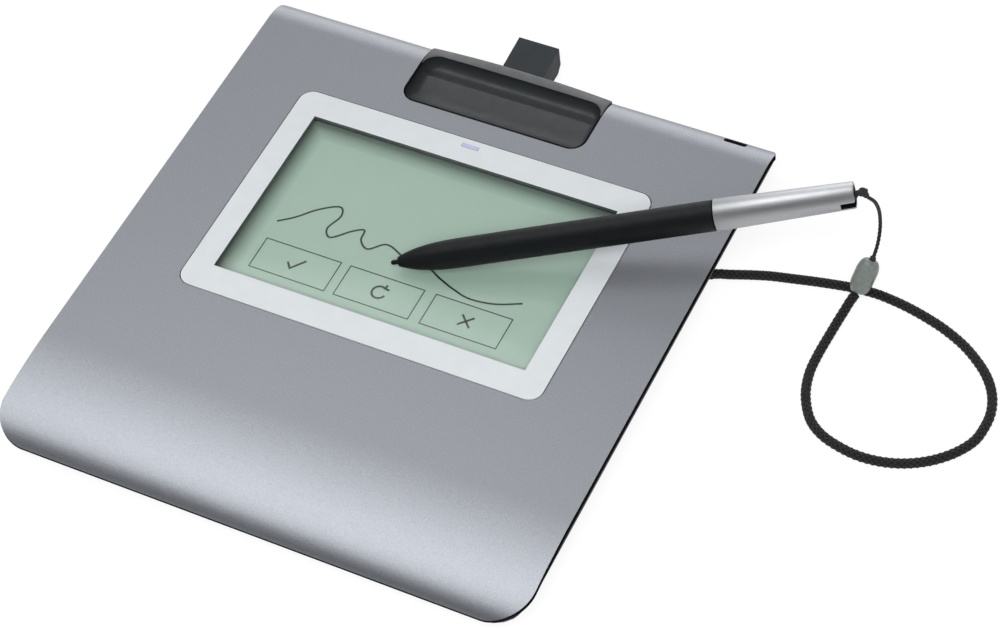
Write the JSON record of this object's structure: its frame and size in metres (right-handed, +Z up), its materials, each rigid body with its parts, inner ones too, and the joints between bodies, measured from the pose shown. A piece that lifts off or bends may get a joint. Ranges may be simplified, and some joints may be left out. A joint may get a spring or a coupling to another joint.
{
  "type": "signature pad",
  "caption": "Flat desktop signing tablet with a recessed display in a white frame, a rear pen rest, and a pen tethered to its side by a looped cord.",
  "frame": {"origin": "centre of the case's flat underside", "axes": "+X to the pad's right, +Y to its rear edge with the pen rest, +Z up out of the display"},
  "size_m": [0.2469, 0.1814, 0.0401],
  "materials": {
    "silver_paint": "satin metallic silver paint on moulded plastic",
    "dark_plastic": "fine-textured dark grey plastic",
    "white_plastic": "smooth white plastic",
    "tray_plastic": "satin dark grey plastic",
    "black_rubber": "matte black rubber",
    "clear_glass": "lightly etched clear glass",
    "display_panel": "pale green reflective display",
    "foam": "black foam",
    "circuit_board": "green solder mask",
    "steel": "plain steel",
    "chip_black": "black moulded plastic",
    "flex_film": "amber film",
    "light_blue": "clear blue plastic",
    "copper": "enamelled copper wire",
    "ferrite": "grey ferrite",
    "braided_cord": "tightly braided black cord",
    "bead_plastic": "translucent grey-green plastic",
    "pen_black": "satin black plastic",
    "pen_silver": "silver paint on moulded plastic"
  },
  "bodies": {
    "pad": {"top_cover": "silver_paint", "bottom_case": "dark_plastic", "display_frame": "white_plastic", "cover_glass": "clear_glass", "foam_gasket": "foam", "display_panel": "display_panel", "sensor_board": "circuit_board", "shield_plate": "steel", "display_holder": "dark_plastic", "lcd_flex": "flex_film", "lcd_socket": "chip_black", "sensor_flex": "flex_film", "sensor_socket": "chip_black", "main_board": "circuit_board", "controller_chip": "chip_black", "board_screw_left": "steel", "board_screw_right": "steel", "status_led": "light_blue", "light_pipe": "light_blue", "usb_receptacle": "steel", "pen_tray": "tray_plastic", "connector_housing": "tray_plastic", "lock_plate": "steel", "case_screw_front_left": "steel", "case_screw_front_right": "steel", "case_screw_middle_left": "steel", "case_screw_middle_right": "steel", "case_screw_rear_left": "steel", "case_screw_rear_right": "steel", "foot_front_left": "black_rubber", "foot_front_right": "black_rubber", "foot_rear_left": "black_rubber", "foot_rear_right": "black_rubber", "cord_grommet": "black_rubber", "cord_anchor": "steel", "tether_cord": "braided_cord"},
    "pen": {"pen_grip": "pen_black", "pen_tail": "pen_silver", "pen_end_plug": "chip_black", "lanyard_pin": "steel", "ferrite_core": "ferrite", "pen_coil": "copper", "pressure_sensor": "chip_black", "pen_circuit_board": "circuit_board", "cord_bead": "bead_plastic", "pen_string": "braided_cord", "string_knot": "braided_cord", "string_loop": "braided_cord"},
    "nib": {"nib": "pen_black"}
  },
  "joints": [
    {"name": "pen_lift", "type": "slide", "parent": "pad", "child": "pen", "axis": [0, 0, 1], "range_m": [0, 0.02]},
    {"name": "nib_press", "type": "slide", "parent": "pen", "child": "nib", "axis": [0.8993, 0.3967, 0.184], "range_m": [0, 0.0004], "stiffness_N_per_m": 2000}
  ]
}
